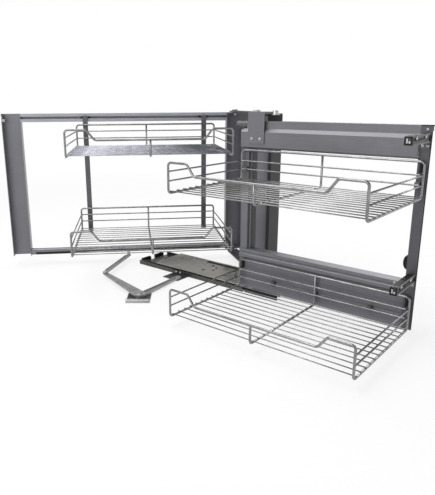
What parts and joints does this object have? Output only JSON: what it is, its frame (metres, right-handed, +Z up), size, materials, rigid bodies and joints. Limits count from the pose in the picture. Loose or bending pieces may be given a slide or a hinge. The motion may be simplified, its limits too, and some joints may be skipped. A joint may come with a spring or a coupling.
{
  "type": "corner swivel shelf",
  "caption": "Pull-out corner shelf: a floor runner carries a swing post with a turning front frame and a hinged rear frame, each holding wire baskets at two levels.",
  "frame": {"origin": "centre of the floor runner's four screw holes, on the cabinet floor", "axes": "+X along the runner and the front frame, the way the unit pulls out; -Y towards the side where the front baskets hang; +Z up"},
  "size_m": [1.4132, 0.7517, 0.5881],
  "materials": {
    "frame_paint": "satin dark grey powder coat",
    "post_paint": "satin grey powder coat",
    "zinc": "zinc plated",
    "steel": "bright plated",
    "chrome_wire": "polished chrome plating",
    "black_plastic": "matte moulded"
  },
  "bodies": {
    "runner": {"runner_rail": "zinc", "runner_end_stops": "black_plastic", "linkage_bracket": "zinc", "bracket_screws": "steel", "brace_bar": "zinc", "foot_plate": "zinc", "foot_pivot_pin": "steel"},
    "middle_member": {"runner_middle": "zinc"},
    "outer_balls": {"outer_ball_cage": "steel"},
    "inner_balls": {"inner_ball_cage": "steel"},
    "carriage": {"runner_slider": "zinc", "lower_swing_plate": "post_paint", "swing_post": "post_paint", "top_swing_plate": "post_paint", "post_bolts": "steel", "front_lower_pivot": "steel", "front_upper_pivot": "steel", "rear_lower_pivot": "steel", "rear_upper_pivot": "steel"},
    "lever": {"lever_arm": "zinc", "elbow_pin": "steel"},
    "link": {"link_arm": "zinc", "link_stud": "steel"},
    "rear_frame": {"rear_near_upright": "frame_paint", "rear_far_upright": "frame_paint", "rear_top_rail": "frame_paint", "rear_bottom_tube": "frame_paint", "rear_hinge_plates": "frame_paint"},
    "rear_baskets": {"glide_blocks": "black_plastic", "hanger_posts": "post_paint", "rear_basket_hooks": "post_paint", "rear_upper_floor": "chrome_wire", "rear_upper_front_rail": "chrome_wire", "rear_upper_back": "chrome_wire", "rear_lower_floor": "chrome_wire", "rear_lower_front_rail": "chrome_wire", "rear_lower_back": "chrome_wire"},
    "front_frame": {"front_left_post": "frame_paint", "front_right_post": "frame_paint", "front_top_beam": "frame_paint", "front_bottom_beam": "frame_paint", "front_pivot_plate": "frame_paint", "hanger_strap": "frame_paint", "strap_screws": "steel", "guide_roller": "steel", "stop_block": "black_plastic", "stop_bolt": "steel", "front_basket_clips": "steel", "front_upper_floor": "chrome_wire", "front_upper_front_rail": "chrome_wire", "front_upper_back": "chrome_wire", "front_lower_floor": "chrome_wire", "front_lower_front_rail": "chrome_wire", "front_lower_back": "chrome_wire", "door_slide_rails": "zinc", "door_slide_screws": "steel", "door_buffer": "black_plastic"},
    "upper_door_member": {"upper_door_slide": "steel"},
    "lower_door_member": {"lower_door_slide": "steel"}
  },
  "joints": [
    {"name": "carriage_slide", "type": "slide", "parent": "runner", "child": "carriage", "axis": [1, 0, 0], "range_m": [0, 0.25]},
    {"name": "middle_slide", "type": "slide", "parent": "runner", "child": "middle_member", "axis": [1, 0, 0], "range_m": [0, 0.126]},
    {"name": "outer_balls_slide", "type": "slide", "parent": "runner", "child": "outer_balls", "axis": [1, 0, 0], "range_m": [0, 0.0635]},
    {"name": "inner_balls_slide", "type": "slide", "parent": "runner", "child": "inner_balls", "axis": [1, 0, 0], "range_m": [0, 0.1885]},
    {"name": "rear_swing", "type": "hinge", "parent": "carriage", "child": "rear_frame", "pos_m": [-0.016, 0.237, 0], "axis": [0, 0, 1], "range_deg": [-20.1, 0]},
    {"name": "lever_swing", "type": "hinge", "parent": "runner", "child": "lever", "pos_m": [0.029, -0.337, 0], "axis": [0, 0, 1], "range_deg": [-23, 0]},
    {"name": "link_swing", "type": "hinge", "parent": "lever", "child": "link", "pos_m": [-0.20958, -0.27307, 0], "axis": [0, 0, 1], "range_deg": [-8.2, 0]},
    {"name": "front_swing", "type": "hinge", "parent": "carriage", "child": "front_frame", "pos_m": [0.287, -0.072, 0], "axis": [0, 0, 1], "range_deg": [0, 60]},
    {"name": "rear_basket_slide", "type": "slide", "parent": "rear_frame", "child": "rear_baskets", "axis": [-0.682, -0.7314, 0], "range_m": [0, 0.19]},
    {"name": "upper_door_slide_out", "type": "slide", "parent": "front_frame", "child": "upper_door_member", "axis": [0, -1, 0], "range_m": [0, 0.08]},
    {"name": "lower_door_slide_out", "type": "slide", "parent": "front_frame", "child": "lower_door_member", "axis": [0, -1, 0], "range_m": [0, 0.081]}
  ],
  "couplings": [
    {"joint": "middle_slide", "follows": "carriage_slide", "ratio": 0.5},
    {"joint": "outer_balls_slide", "follows": "carriage_slide", "ratio": 0.25},
    {"joint": "inner_balls_slide", "follows": "carriage_slide", "ratio": 0.75},
    {"joint": "rear_swing", "follows": "carriage_slide", "rad_per_m": -1.3963},
    {"joint": "lever_swing", "follows": "carriage_slide", "rad_per_m": -1.597},
    {"joint": "link_swing", "follows": "carriage_slide", "rad_per_m": -0.568},
    {"joint": "lower_door_slide_out", "follows": "upper_door_slide_out", "ratio": 1}
  ]
}
